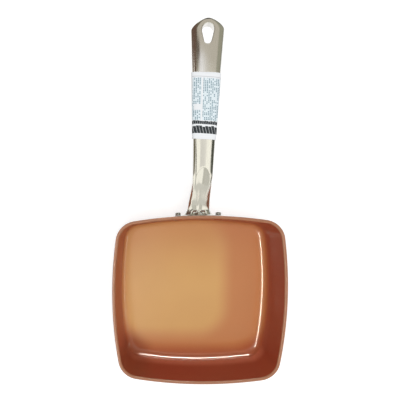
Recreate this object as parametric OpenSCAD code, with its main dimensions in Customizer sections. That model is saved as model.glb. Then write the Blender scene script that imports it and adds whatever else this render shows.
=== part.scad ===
// Square frying pan: a deep vessel with bowed sides and rounded corners, and a long hollow handle.
// The origin is at the centre of the underside, +Z is up, and the handle runs out along +Y.

/* [Vessel] */
// Width of the rim, from the middle of one side to the middle of the other
pan_w = 241.3; // [220:0.1:270]
// Height of the rim above the surface that the pan stands on
pan_h = 60; // [50:1:75]
// Radius of the bow along each side of the rim
side_bow_r = 580; // [450:10:1200]
// Radius of each corner of the rim
corner_r = 30; // [24:1:40]
// Thickness of the wall
wall_t = 2.8; // [2.2:0.1:3.4]
// Thickness of the floor
floor_t = 3.2; // [2.6:0.1:5]
// Lean of the wall from upright, in degrees
wall_lean = 5.5; // [4:0.5:12]
// Inside radius of the bend between the floor and the wall
bend_r = 10; // [8:0.5:22]
// Width of the rolled lip
lip_w = 4.2; // [3.8:0.1:6]
// Height of the rolled lip
lip_h = 3.4; // [2.6:0.1:5]

/* [Base plate] */
// Diameter of the steel plate bonded into the underside
plate_d = 168; // [140:1:178]
// Thickness of the plate
plate_t = 1.2; // [0.9:0.1:1.8]
// How far the plate stands below the vessel's underside
plate_proud = 0.4; // [0.2:0.1:0.8]
// Diameter of the holes that lock the plate to the vessel
lock_hole_d = 6; // [4:0.5:9]
// Distance between the rings of holes
lock_ring_step = 20; // [16:1:24]
// Number of rings of holes
lock_rings = 3; // [1:1:3]
// Gap around the plate and in its holes
plate_gap = 0.1; // [0.05:0.05:0.3]

/* [Bracket] */
// Width of the flange that is riveted to the wall
flange_w = 69; // [62:1:80]
// Height of the flange
flange_h = 20; // [16:1:24]
// Thickness of the flange
flange_t = 2.5; // [2:0.1:3.5]
// Gap between the underside of the lip and the flange's top edge
lip_gap = 1.7; // [1:0.1:10]
// Rounding of the flange's front edge
flange_edge_r = 0.9; // [0.4:0.1:1.5]
// Gap between the flange and the wall
seat_gap = 0.1; // [0.05:0.05:0.3]
// Width of the neck where it grows out of the flange
neck_w = 43; // [34:1:44]
// Height of the neck where it grows out of the flange
neck_h = 18; // [14:1:20]
// Depth of the two hollows on top of the neck
neck_hollow = 2.2; // [0:0.1:2.5]
// Length of the tongue inside the handle
tongue_len = 20; // [10:1:26]
// Thickness of the tongue
tongue_t = 2.4; // [1.5:0.1:3]
// Gap between the tongue and the handle's side
tongue_gap = 0.4; // [0.2:0.1:0.8]

/* [Rivets] */
// Distance between the two rivets
rivet_gap = 55; // [50:1:60]
// Diameter of the shank
shank_d = 4; // [3.2:0.1:6]
// Gap around the shank
shank_gap = 0.1; // [0.05:0.05:0.2]
// Diameter of the outer head
outer_head_d = 8; // [7:0.1:10]
// Height of the outer head
outer_head_h = 4.8; // [2:0.1:5.5]
// Diameter of the low head inside the vessel
inner_head_d = 11; // [8:0.1:13]
// Height of the low head inside the vessel
inner_head_h = 1.2; // [0.8:0.1:2]
// Bevel around each head
head_bevel = 0.8; // [0.3:0.1:1]

/* [Handle] */
// Distance from the rim's edge to the handle's mouth
mouth_reach = 8.35; // [6.5:0.05:15]
// Length of the handle from its mouth to its tip
handle_len = 213; // [171:1:231]
// Height of the handle's seam at its mouth above the flange's middle
mouth_lift = 2.5; // [-1:0.1:5]
// Climb of the knee near the mouth
knee_rise = 22; // [10:0.5:26]
// Length of the knee along the handle
knee_len = 46; // [40:1:60]
// Climb of the straight grip, from mouth to tip
grip_rise = 32; // [15:0.5:40]
// Width of the mouth
mouth_w = 31; // [26:0.5:32]
// Width of the waist
waist_w = 25.8; // [23:0.1:28]
// Width of the grip where the round of the tip starts
end_w = 37.4; // [32:0.1:42]
// Height of the handle above its seam
crown_h = 5.5; // [5:0.1:7]
// Depth of the handle below its seam
belly_h = 7; // [5.5:0.1:9]
// Height above the seam and depth below it, at the tip
end_h = 4.2; // [3.4:0.1:5]
// Length of the round at the tip
tip_len = 12; // [9:0.5:18]
// Thickness of the two shells
shell_t = 1.2; // [0.8:0.1:1.5]

/* [Thumb dimple] */
// Distance from the handle's mouth to the widest part of the dimple
dimple_y = 38; // [32:1:42]
// Distance from the widest part to the round end
dimple_round = 15; // [12:1:22]
// Width of the dimple at its widest
dimple_w = 19; // [14:0.5:20]
// Width of the dimple at the mouth
dimple_mouth_w = 5; // [3:0.5:8]
// Depth of the dimple
dimple_depth = 2.2; // [0.5:0.1:2.4]

/* [Hanging hole] */
// Distance from the handle's tip to the middle of the hole's wide end
hole_inset = 13.1; // [10:0.1:16]
// Distance between the middles of the wide end and the narrow end
hole_len = 9.5; // [8:0.1:16]
// Diameter of the hole's wide end
hole_wide_d = 13.4; // [12:0.1:16]
// Diameter of the hole's narrow end
hole_narrow_d = 8.6; // [6:0.1:10]
// Thickness of the liner around the hole
liner_t = 1.2; // [0.8:0.1:1.5]
// Gap between the liner and the shells
liner_gap = 0.1; // [0.05:0.05:0.2]

/* [Label sleeve] */
// Distance from the handle's mouth to the sleeve's near edge
label_run = 85.5; // [77:0.5:87]
// Length of the sleeve
label_len = 72; // [50:0.5:74]
// Thickness of the card
label_t = 0.5; // [0.3:0.1:0.8]
// Gap between the card and the handle
label_gap = 0.2; // [0.1:0.05:0.3]
// How much further out the sleeve's left edge lies than its right edge
label_skew = 2.4; // [0:0.1:5]

/* [Hidden] */
$fn = 96;

// How fast the radius of the corners grows as the wall moves in; it shrinks where this is below zero
corner_growth_share = -0.25;
// How round the lip is: 2 is an ellipse
lip_round = 2.4;
// How far a cut runs past the face it goes through
overrun = 2;

// Colours
copper = [0.73, 0.42, 0.26];
steel = [0.80, 0.79, 0.76];
dull_steel = [0.66, 0.66, 0.65];
white = [0.95, 0.96, 0.97];

// Steps along each side, round each corner, round each bend and round the lip
side_steps = 12;
corner_steps = 8;
bend_steps = 7;
lip_steps = 8;

// The vessel's profile, as a half width for each height
half_w = pan_w / 2;
rim_x = half_w - lip_w;
rim_z = pan_h - lip_h / 2;
slant_t = wall_t / cos(wall_lean);
floor_z = plate_proud + floor_t;
function inner_x(z) = rim_x - (rim_z - z) * tan(wall_lean);
function outer_x(z) = inner_x(z) + slant_t;
function bow_at(x) = side_bow_r - (half_w - x);

// Where the flange, the handle's mouth and the hanging hole lie
flange_z = pan_h - lip_h - lip_gap - flange_h / 2 * cos(wall_lean);
mouth_y = half_w + mouth_reach;
mouth_z = flange_z + mouth_lift;
hole_y = mouth_y + handle_len - hole_inset;

in_bend_z = floor_z + bend_r;
in_bend_x = inner_x(in_bend_z) - bend_r / cos(wall_lean);
out_bend_r = bend_r + wall_t;
out_bend_z = plate_proud + out_bend_r;
out_bend_x = outer_x(out_bend_z) - out_bend_r / cos(wall_lean);

// Corner radius of the inner face and of the outer face at a half width
function inner_corner(x) = corner_r - lip_w + corner_growth_share * (rim_x - x);
function outer_corner(x) = inner_corner(x - slant_t) + wall_t;

// Each entry is a half width, a height and a corner radius, from under the floor over the lip to the floor
function rounded(a, power) = sign(a) * pow(abs(a), 2 / power);
outer_bend = [for (i = [0:bend_steps])
    let (a = i * (90 - wall_lean) / bend_steps, x = out_bend_x + out_bend_r * sin(a))
    [x, out_bend_z - out_bend_r * cos(a), outer_corner(x)]];
// The lip runs from where the outer face meets its underside, round the outside and over the top
lip_meet_share = 2 * (outer_x(rim_z - lip_h / 2) - rim_x) / lip_w - 1;
lip_start = -acos(sign(lip_meet_share) * pow(abs(lip_meet_share), lip_round / 2));
lip_angles = concat([for (i = [0:2]) lip_start * (1 - i / 3)], [for (i = [0:lip_steps]) 180 * i / lip_steps]);
lip = [for (a = lip_angles)
    let (x = rim_x + lip_w / 2 * (1 + rounded(cos(a), lip_round)))
    [x, rim_z + lip_h / 2 * rounded(sin(a), lip_round), corner_r - (half_w - x)]];
inner_bend = [for (i = [bend_steps:-1:0])
    let (a = i * (90 - wall_lean) / bend_steps, x = in_bend_x + bend_r * sin(a))
    [x, in_bend_z - bend_r * cos(a), inner_corner(x)]];
vessel_profile = concat(outer_bend, lip, inner_bend);

// Points of a square with bowed sides and round corners, counter-clockwise from the right side
function rounded_square(half, bow, corner) =
    let (m = bow - half,
         k = (sqrt(2 * pow(bow - corner, 2) - m * m) - m) / 2,
         reach = atan2(k, k + m))
    [for (turn = [0:90:270])
        each [for (p = concat(
                [for (i = [0:side_steps]) let (a = reach * (2 * i / side_steps - 1))
                    [half - bow + bow * cos(a), bow * sin(a)]],
                [for (i = [1:corner_steps - 1]) let (a = reach + (90 - 2 * reach) * i / corner_steps)
                    [k + corner * cos(a), k + corner * sin(a)]]))
            [p.x * cos(turn) - p.y * sin(turn), p.x * sin(turn) + p.y * cos(turn)]]];

// A closed skin over a stack of rings, each counter-clockwise when seen from the last one
module skin(rings) {
    n = len(rings[0]);
    last = len(rings) - 1;
    polyhedron(
        points = [for (ring = rings) each ring],
        faces = concat(
            [[for (j = [0:n - 1]) j]],
            [[for (j = [n - 1:-1:0]) last * n + j]],
            [for (i = [0:last - 1], j = [0:n - 1]) let (k = (j + 1) % n)
                each [[i * n + j, (i + 1) * n + j, (i + 1) * n + k],
                      [i * n + j, (i + 1) * n + k, i * n + k]]]));
}

// A point on the outer face of the +Y wall, moved out along the wall's normal
function wall_point(x, z, out) =
    let (a = outer_x(z), r = bow_at(a), turn = asin(x / r))
    [x + out * sin(turn) * cos(wall_lean),
     a - r + r * cos(turn) + out * cos(turn) * cos(wall_lean),
     z - out * sin(wall_lean)];

// Places children on the outer face of the +Y wall, with their +Z along its normal
module on_wall(x, z) {
    translate(wall_point(x, z, 0))
        rotate([0, 0, -asin(x / bow_at(outer_x(z)))])
        rotate([-(90 + wall_lean), 0, 0])
        children();
}

module at_rivets() {
    for (side = [-1, 1]) on_wall(side * rivet_gap / 2, flange_z) children();
}

module rivet_bores(through) {
    at_rivets() translate([0, 0, -through]) cylinder(d = shank_d + 2 * shank_gap, h = 2 * through);
}

// Places children at every lock hole: each ring holds six more than the ring inside it
module at_lock_holes() {
    for (ring = [1:lock_rings]) {
        count = 6 * ring;
        for (i = [0:count - 1])
            rotate([0, 0, 360 * i / count]) translate([ring * lock_ring_step, 0, 0]) children();
    }
}

module pan_body() {
    color(copper) difference() {
        skin([for (p = vessel_profile)
            [for (q = rounded_square(p.x, bow_at(p.x), p[2])) [q.x, q.y, p.y]]]);
        difference() {
            cylinder(d = plate_d + 2 * plate_gap, h = plate_t + plate_gap);
            at_lock_holes() translate([0, 0, -overrun])
                cylinder(d = lock_hole_d - 2 * plate_gap, h = plate_t + plate_gap + 2 * overrun, $fn = 24);
        }
        rivet_bores(wall_t + overrun);
    }
}

module base_plate() {
    color(dull_steel) difference() {
        cylinder(d = plate_d, h = plate_t);
        at_lock_holes() translate([0, 0, -overrun])
            cylinder(d = lock_hole_d, h = plate_t + 2 * overrun, $fn = 24);
    }
}

// The handle's seam line: a smooth knee, then a grip that climbs less and less
grip_bow_share = 0.35;
function knee_share(s) = min(1, max(0, s * handle_len / knee_len));
function seam_z(s) = mouth_z + knee_rise * pow(knee_share(s), 2) * (3 - 2 * knee_share(s))
    + grip_rise * s * (1 + grip_bow_share - grip_bow_share * s);
function seam_turn(s) = atan(knee_rise / knee_len * 6 * knee_share(s) * (1 - knee_share(s))
    + grip_rise / handle_len * (1 + grip_bow_share - 2 * grip_bow_share * s));

// Half width, height above the seam and depth below it, along the handle
waist_share = 0.2;
tip_share = 1 - tip_len / handle_len;
// The tip stops just short of its point, so that it ends in a small flat face
blunt_share = 0.985;
tip_power = 1.5;
function half_width(s) = s < waist_share
    ? waist_w / 2 + (mouth_w - waist_w) / 2 * pow(1 - s / waist_share, 2)
    : waist_w / 2 + (end_w - waist_w) / 2 * pow((s - waist_share) / (tip_share - waist_share), 1.5);
function height(s, side) = side > 0
    ? crown_h + (end_h - crown_h) * s * s
    : belly_h + (end_h - belly_h) * s * s;
// How much of its width and height the handle still has in the round of the tip
function in_tip(s) = max(0, (s - tip_share) / (1 - tip_share));
function tip_width(s) = pow(1 - pow(in_tip(s), tip_power), 1 / tip_power);
function tip_height(s) = pow(1 - pow(in_tip(s), 4), 1 / 4);

// Depth of the thumb dimple: round at its far end, drawn out to a tail at the mouth
function dimple_half(run) = run > dimple_y
    ? dimple_w / 2 * sqrt(max(0, 1 - pow((run - dimple_y) / dimple_round, 2)))
    : (dimple_mouth_w + (dimple_w - dimple_mouth_w) * pow(max(0, run / dimple_y), 2.2)) / 2;
tail_depth_share = 0.35;
function dimple(x, s) =
    let (run = s * handle_len, half = dimple_half(run),
         deep = run > dimple_y ? 1 : tail_depth_share + (1 - tail_depth_share) * max(0, run / dimple_y))
    half <= 0 ? 0 : dimple_depth * deep * pow(max(0, 1 - pow(x / half, 2)), 1.5)
        * (run > dimple_y ? 1 - pow((run - dimple_y) / dimple_round, 2) : 1);

// Stations from mouth to tip, and points from the middle to the edge of a section
station_shares = [0, 0.025, 0.05, 0.075, 0.1, 0.125, 0.145, 0.165, 0.185, 0.205, 0.225, 0.24, 0.255, 0.29,
                  0.35, 0.42, 0.5, 0.58, 0.66, 0.74, 0.82, 0.88, 0.925];
tip_station_shares = [0, 0.16, 0.32, 0.48, 0.62, 0.74, 0.84, 0.92, 1];
stations = concat(station_shares,
                  [for (t = tip_station_shares) tip_share + (1 - tip_share) * t * blunt_share]);
edge_shares = [1, 0.985, 0.94, 0.86, 0.74, 0.6, 0.45, 0.3, 0.15];
across = concat([for (e = edge_shares) -e], [0], [for (i = [len(edge_shares) - 1:-1:0]) edge_shares[i]]);
crown_power = 2.9;
belly_power = 2.3;

// A point on the handle: s along it, e across it, side 1 above the seam and -1 below it
function handle_point(s, e, side, inset) =
    let (w = (half_width(s) - inset) * tip_width(s),
         h = (height(s, side) - inset) * tip_height(s),
         power = side > 0 ? crown_power : belly_power,
         n = side * h * pow(max(0, 1 - pow(abs(e), power)), 1 / power)
             - (side > 0 ? dimple(e * w, s) : 0),
         turn = seam_turn(s))
    [e * w, mouth_y + s * handle_len - n * sin(turn), seam_z(s) + n * cos(turn)];

function handle_ring(s, inset) = concat(
    [for (e = across) handle_point(s, e, 1, inset)],
    [for (i = [len(across) - 2:-1:1]) handle_point(s, across[i], -1, inset)]);

// One half of the hollow handle, open at the mouth and along the seam
module half_shell(side) {
    m = len(across) - 1;
    last = len(stations) - 1;
    shorten = 1 - shell_t / handle_len;
    outer = [for (s = stations) each [for (e = across) handle_point(s, e, side, 0)]];
    inner = [for (s = stations) each [for (e = across) handle_point(s * shorten, e, side, shell_t)]];
    base = len(outer);
    function o(i, k) = i * (m + 1) + k;
    function b(i, k) = base + i * (m + 1) + k;
    faces = concat(
        [for (i = [0:last - 1], k = [0:m - 1])
            each [[o(i, k), o(i + 1, k), o(i + 1, k + 1)], [o(i, k), o(i + 1, k + 1), o(i, k + 1)],
                  [b(i, k), b(i + 1, k + 1), b(i + 1, k)], [b(i, k), b(i, k + 1), b(i + 1, k + 1)]]],
        [for (i = [0:last - 1])
            each [[o(i + 1, 0), o(i, 0), b(i, 0)], [o(i + 1, 0), b(i, 0), b(i + 1, 0)],
                  [o(i, m), o(i + 1, m), b(i + 1, m)], [o(i, m), b(i + 1, m), b(i, m)]]],
        [for (k = [0:m - 1])
            each [[o(0, k), o(0, k + 1), b(0, k + 1)], [o(0, k), b(0, k + 1), b(0, k)]]],
        [[for (k = [m:-1:0]) o(last, k)],
         [for (k = [0:m]) b(last, k)],
         [o(last, m), o(last, 0), b(last, 0), b(last, m)]]);
    polyhedron(
        points = concat(outer, inner),
        faces = side > 0 ? faces : [for (f = faces) [for (i = [len(f) - 1:-1:0]) f[i]]]);
}

// Outline of the hanging hole, grown by a wall: two circles and their common tangents
module hole_outline(grow) {
    r1 = hole_wide_d / 2 + grow;
    r2 = hole_narrow_d / 2 + grow;
    a = asin((r1 - r2) / hole_len);
    circle(r = r1);
    translate([0, -hole_len]) circle(r = r2);
    polygon([[r1 * cos(a), -r1 * sin(a)], [-r1 * cos(a), -r1 * sin(a)],
             [-r2 * cos(a), -hole_len - r2 * sin(a)], [r2 * cos(a), -hole_len - r2 * sin(a)]]);
}

// The hole's prism stands upright and is tall enough to pass both shells
hole_low = seam_z(tip_share) - belly_h - overrun;
hole_tall = belly_h + crown_h + 4 * overrun;
module hole_prism(grow) {
    translate([0, hole_y, hole_low]) linear_extrude(hole_tall) hole_outline(grow);
}

module handle_upper_shell() {
    color(steel) difference() {
        half_shell(1);
        hole_prism(liner_t + liner_gap);
    }
}

module handle_lower_shell() {
    color(steel) difference() {
        half_shell(-1);
        hole_prism(liner_t + liner_gap);
    }
}

module hang_hole_liner() {
    color(steel) intersection() {
        skin([for (s = stations) handle_ring(s, 0)]);
        difference() {
            hole_prism(liner_t);
            translate([0, 0, -overrun]) hole_prism(0);
            translate([0, 0, overrun]) hole_prism(0);
        }
    }
}

// The flange follows the wall's bow and has rounded ends
flange_station_shares = [-0.985, -0.95, -0.88, -0.75, -0.5, -0.25, 0, 0.25, 0.5, 0.75, 0.88, 0.95, 0.985];
module flange() {
    back = seat_gap;
    front = seat_gap + flange_t;
    edge = flange_edge_r;
    skin([for (e = flange_station_shares)
        let (x = e * flange_w / 2, half = flange_h / 2 * pow(1 - pow(abs(e), 4), 1 / 4))
        [for (p = [[-half, back], [-half, front - edge], [edge - half, front],
                   [half - edge, front], [half, front - edge], [half, back]])
            wall_point(x, flange_z + p.x * cos(wall_lean), p.y)]]);
}

// The neck flares from the handle's mouth to the flange, with two hollows on top and a rib between them
neck_station_shares = [0, 0.15, 0.3, 0.45, 0.6, 0.75, 0.88, 1];
hollow_place_share = 0.32;
hollow_half_share = 0.24;
neck_flare_power = 1.3;
module neck() {
    foot = wall_point(0, flange_z, seat_gap + flange_t / 2);
    function grown(from, to, t) = to + (from - to) * pow(1 - t, neck_flare_power);
    function hollow(e, t) = neck_hollow * sin(180 * t)
        * max(0, 1 - pow((abs(e) - hollow_place_share) / hollow_half_share, 2));
    function neck_point(t, e, side) =
        let (w = grown(neck_w / 2, half_width(0), t),
             h = grown(neck_h / 2, height(0, side), t),
             power = side > 0 ? crown_power : belly_power,
             n = side * h * pow(max(0, 1 - pow(abs(e), power)), 1 / power)
                 - (side > 0 ? hollow(e, t) + t * dimple(e * w, 0) : 0),
             turn = -wall_lean + (seam_turn(0) + wall_lean) * t,
             y = foot.y + (mouth_y - foot.y) * t,
             z = foot.z + (mouth_z - foot.z) * t)
        [e * w, y - n * sin(turn), z + n * cos(turn)];
    skin([for (t = neck_station_shares) concat(
        [for (e = across) neck_point(t, e, 1)],
        [for (i = [len(across) - 2:-1:1]) neck_point(t, across[i], -1)])]);
}

// The tongue follows the seam line into the handle
module tongue() {
    half = mouth_w / 2 - shell_t - tongue_gap - (mouth_w - waist_w) / 2;
    steps = 6;
    skin([for (i = [-1:steps])
        let (s = tongue_len / handle_len * i / steps, turn = seam_turn(max(0, s)))
        [for (p = [[-half, -1], [-half, 1], [half, 1], [half, -1]])
            [p.x,
             mouth_y + s * handle_len - p.y * tongue_t / 2 * sin(turn),
             seam_z(s) + p.y * tongue_t / 2 * cos(turn)]]]);
}

module handle_bracket() {
    color(steel) difference() {
        union() {
            flange();
            neck();
            tongue();
        }
        rivet_bores(wall_t + flange_t + overrun);
    }
}

// A head stands on z = 0 and has a bevel round its top
module rivet_head(d, h) {
    cylinder(d = d, h = h - head_bevel);
    translate([0, 0, h - head_bevel]) cylinder(d1 = d, d2 = d - 2 * head_bevel, h = head_bevel);
}

module rivets() {
    front = seat_gap + flange_t;
    color(dull_steel) at_rivets() union() {
        translate([0, 0, -wall_t]) cylinder(d = shank_d, h = wall_t + front);
        translate([0, 0, front]) rivet_head(outer_head_d, outer_head_h);
        translate([0, 0, -wall_t]) mirror([0, 0, 1]) rivet_head(inner_head_d, inner_head_h);
    }
}

// A thin card tube round the grip, put on a little askew
module label_sleeve() {
    steps = 9;
    near = label_run / handle_len;
    lean = label_skew / handle_len / 2;
    inside = -label_gap;
    outside = -(label_gap + label_t);
    function loop(i, inset) =
        let (s = near + label_len / handle_len * i / steps)
        concat([for (e = across) handle_point(s - e * lean, e, 1, inset)],
               [for (j = [len(across) - 2:-1:1]) handle_point(s - across[j] * lean, across[j], -1, inset)]);
    n = 2 * (len(across) - 1);
    base = (steps + 1) * n;
    color(white) polyhedron(
        points = concat([for (i = [0:steps]) each loop(i, outside)],
                        [for (i = [0:steps]) each loop(i, inside)]),
        faces = concat(
            [for (i = [0:steps - 1], j = [0:n - 1]) let (k = (j + 1) % n, a = i * n, c = (i + 1) * n)
                each [[a + j, c + j, c + k], [a + j, c + k, a + k],
                      [base + a + j, base + c + k, base + c + j], [base + a + j, base + a + k, base + c + k]]],
            [for (j = [0:n - 1]) let (k = (j + 1) % n, c = steps * n)
                each [[j, k, base + k], [j, base + k, base + j],
                      [c + j, base + c + k, c + k], [c + j, base + c + j, base + c + k]]]));
}

pan_body();
base_plate();
handle_bracket();
handle_upper_shell();
handle_lower_shell();
hang_hole_liner();
rivets();
label_sleeve();
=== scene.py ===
# Square frying pan with a copper-coloured coat and a hollow steel handle, dressed for a product picture.
# Sizes are in millimetres until a mesh is made. +Z is up and the handle runs out along +Y.
import bpy
import bmesh
import math
from mathutils import Matrix, Vector


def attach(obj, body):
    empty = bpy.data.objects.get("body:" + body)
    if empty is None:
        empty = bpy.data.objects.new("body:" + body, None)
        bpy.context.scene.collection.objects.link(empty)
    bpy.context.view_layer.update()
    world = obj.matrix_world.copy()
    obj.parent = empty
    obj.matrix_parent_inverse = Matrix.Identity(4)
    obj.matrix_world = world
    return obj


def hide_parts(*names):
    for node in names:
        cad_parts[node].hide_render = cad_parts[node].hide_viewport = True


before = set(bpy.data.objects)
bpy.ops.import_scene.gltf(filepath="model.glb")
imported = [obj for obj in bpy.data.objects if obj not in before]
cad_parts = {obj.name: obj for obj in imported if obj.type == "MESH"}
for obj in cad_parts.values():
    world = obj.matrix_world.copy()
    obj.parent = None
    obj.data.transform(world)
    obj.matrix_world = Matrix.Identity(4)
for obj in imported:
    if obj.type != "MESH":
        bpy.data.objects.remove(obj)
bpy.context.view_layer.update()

MM = 0.001

# Vessel
PAN_W, PAN_H, SIDE_BOW_R, CORNER_R = 241.3, 60.0, 580.0, 30.0
WALL_T, FLOOR_T, BEND_R, LIP_W, LIP_H = 2.8, 3.2, 10.0, 4.2, 3.4
WALL_LEAN = math.radians(5.5)
CORNER_GROWTH_SHARE, LIP_ROUND = -0.25, 2.4

# Base plate
PLATE_R, PLATE_T, PLATE_PROUD, PLATE_GAP, PLATE_BEVEL = 84.0, 1.2, 0.4, 0.1, 0.22
LOCK_HOLE_R, LOCK_RING_STEP, LOCK_RINGS, BOSS_BEVEL = 3.0, 20.0, 3, 0.15

# Bracket and rivets
FLANGE_W, FLANGE_H, FLANGE_T, FLANGE_EDGE, LIP_GAP, SEAT_GAP = 69.0, 20.0, 2.5, 1.3, 1.7, 0.1
NECK_W, NECK_H, NECK_HOLLOW, NECK_FLARE_POWER = 43.0, 18.0, 2.2, 1.3
HOLLOW_PLACE_SHARE, HOLLOW_HALF_SHARE = 0.32, 0.24
TONGUE_LEN, TONGUE_T, TONGUE_GAP = 20.0, 2.4, 0.4
CASTING_GRAIN, CASTING_SMOOTHING = 0.45, 6
RIVET_GAP, SHANK_R, OUTER_HEAD_R, OUTER_HEAD_H = 55.0, 2.0, 4.0, 4.8
HEAD_EDGE, HEAD_EDGE_H = 1.3, 1.6
INNER_HEAD_R, INNER_HEAD_H = 5.5, 1.2

# Handle
MOUTH_REACH, HANDLE_LEN, MOUTH_LIFT = 8.35, 213.0, 2.5
KNEE_RISE, KNEE_LEN, GRIP_RISE, GRIP_BOW_SHARE = 22.0, 46.0, 32.0, 0.35
MOUTH_W, WAIST_W, END_W, WAIST_SHARE = 31.0, 25.8, 37.4, 0.2
CROWN_H, BELLY_H, END_H, TIP_LEN, SHELL_T = 5.5, 7.0, 4.2, 12.0, 1.2
CROWN_POWER, BELLY_POWER, TIP_POWER, BLUNT_SHARE = 2.9, 2.3, 1.5, 0.985
ROOT_ROUNDING, ROOT_SHARE = 0.8, 0.3
DIMPLE_Y, DIMPLE_ROUND, DIMPLE_W, DIMPLE_MOUTH_W = 38.0, 15.0, 19.0, 7.0
DIMPLE_DEPTH, TAIL_DEPTH_SHARE = 2.2, 0.22

# Hanging hole and card sleeve
HOLE_INSET, HOLE_LEN, HOLE_WIDE_R, HOLE_NARROW_R = 13.1, 9.5, 6.7, 4.3
LINER_T, LINER_ROUND, LINER_OVERLAP = 1.2, 0.45, 0.25
SLEEVE_RUN, SLEEVE_LEN, SLEEVE_T, SLEEVE_GAP, SLEEVE_SKEW = 85.5, 72.0, 0.5, 0.2, 2.4
SLEEVE_EDGE = 0.12

HALF_W = PAN_W / 2
RIM_X = HALF_W - LIP_W
RIM_Z = PAN_H - LIP_H / 2
FLOOR_Z = PLATE_PROUD + FLOOR_T
FLANGE_Z = PAN_H - LIP_H - LIP_GAP - FLANGE_H / 2 * math.cos(WALL_LEAN)
MOUTH_Y = HALF_W + MOUTH_REACH
MOUTH_Z = FLANGE_Z + MOUTH_LIFT
HOLE_Y = MOUTH_Y + HANDLE_LEN - HOLE_INSET
TIP_SHARE = 1 - TIP_LEN / HANDLE_LEN


# Mesh helpers

def clamp(value, low=0.0, high=1.0):
    return min(high, max(low, value))


def signed_power(value, power):
    return math.copysign(abs(value) ** power, value)


def ring_faces(rows, count, start=0):
    """Quads between closed rings that follow one another."""
    faces = []
    for i in range(rows - 1):
        for j in range(count):
            k = (j + 1) % count
            a, b = start + i * count, start + (i + 1) * count
            faces.append((a + j, b + j, b + k, a + k))
    return faces


def add_form(points, faces, form, form_faces):
    """Adds a form to the points and faces of a larger piece."""
    start = len(points)
    points += form
    faces += [tuple(start + k for k in face) for face in form_faces]


def flat_grid(width, length, steps):
    """Points and faces of a flat sheet round the origin."""
    count = steps + 1
    points = [((i / steps - 0.5) * width, (j / steps - 0.5) * length, 0.0)
              for j in range(count) for i in range(count)]
    corners = [j * count + i for j in range(steps) for i in range(steps)]
    return points, [(k, k + 1, k + count + 1, k + count) for k in corners]


def make_piece(name, points, faces, material, sharp_angle=40.0):
    """A shown piece from points in millimetres, with outward normals and smooth shading."""
    mesh = bpy.data.meshes.new(name)
    mesh.from_pydata([Vector(p) * MM for p in points], [], faces)
    bm = bmesh.new()
    bm.from_mesh(mesh)
    bmesh.ops.remove_doubles(bm, verts=bm.verts, dist=1e-7)
    bmesh.ops.recalc_face_normals(bm, faces=bm.faces)
    bm.to_mesh(mesh)
    bm.free()
    finish_shading(mesh, sharp_angle)
    mesh.materials.append(material)
    piece = bpy.data.objects.new(name, mesh)
    bpy.context.scene.collection.objects.link(piece)
    return piece


def finish_shading(mesh, sharp_angle):
    for polygon in mesh.polygons:
        polygon.use_smooth = True
    mesh.set_sharp_from_angle(angle=math.radians(sharp_angle))


def lathe(profile, steps):
    """Points and faces of a closed turned form.

    The profile is (radius, height) from bottom to top, with both ends on the axis.
    """
    rings = profile[1:-1]
    points = [(r * math.cos(2 * math.pi * j / steps), r * math.sin(2 * math.pi * j / steps), z)
              for r, z in rings for j in range(steps)]
    faces = ring_faces(len(rings), steps)
    low, high = len(points), len(points) + 1
    points += [(0, 0, profile[0][1]), (0, 0, profile[-1][1])]
    last = (len(rings) - 1) * steps
    for j in range(steps):
        k = (j + 1) % steps
        faces.append((low, k, j))
        faces.append((high, last + j, last + k))
    return points, faces


def baked_modifiers(piece):
    """Replaces a piece's mesh by what its modifiers make of it."""
    bpy.context.view_layer.update()
    shaped = piece.evaluated_get(bpy.context.evaluated_depsgraph_get())
    mesh = bpy.data.meshes.new_from_object(shaped)
    piece.modifiers.clear()
    piece.data = mesh
    return mesh


# The vessel's form

def inner_x(z):
    return RIM_X - (RIM_Z - z) * math.tan(WALL_LEAN)


def outer_x(z):
    return inner_x(z) + WALL_T / math.cos(WALL_LEAN)


def bow_at(x):
    return SIDE_BOW_R - (HALF_W - x)


def inner_corner(x):
    return CORNER_R - LIP_W + CORNER_GROWTH_SHARE * (RIM_X - x)


def outer_corner(x):
    return inner_corner(x - WALL_T / math.cos(WALL_LEAN)) + WALL_T


SIDE_STEPS, CORNER_STEPS = 40, 24
RING_COUNT = 4 * (SIDE_STEPS + CORNER_STEPS)


def rounded_square(half, bow, corner):
    """A square with bowed sides and round corners, counter-clockwise from the right side."""
    m = bow - half
    k = (math.sqrt(2 * (bow - corner) ** 2 - m * m) - m) / 2
    reach = math.atan2(k, k + m)
    quarter = []
    for i in range(SIDE_STEPS + 1):
        a = reach * (2 * i / SIDE_STEPS - 1)
        quarter.append((half - bow + bow * math.cos(a), bow * math.sin(a)))
    for i in range(1, CORNER_STEPS):
        a = reach + (math.pi / 2 - 2 * reach) * i / CORNER_STEPS
        quarter.append((k + corner * math.cos(a), k + corner * math.sin(a)))
    ring = []
    for cos_turn, sin_turn in ((1, 0), (0, 1), (-1, 0), (0, -1)):
        ring += [(x * cos_turn - y * sin_turn, x * sin_turn + y * cos_turn) for x, y in quarter]
    return ring


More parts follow.
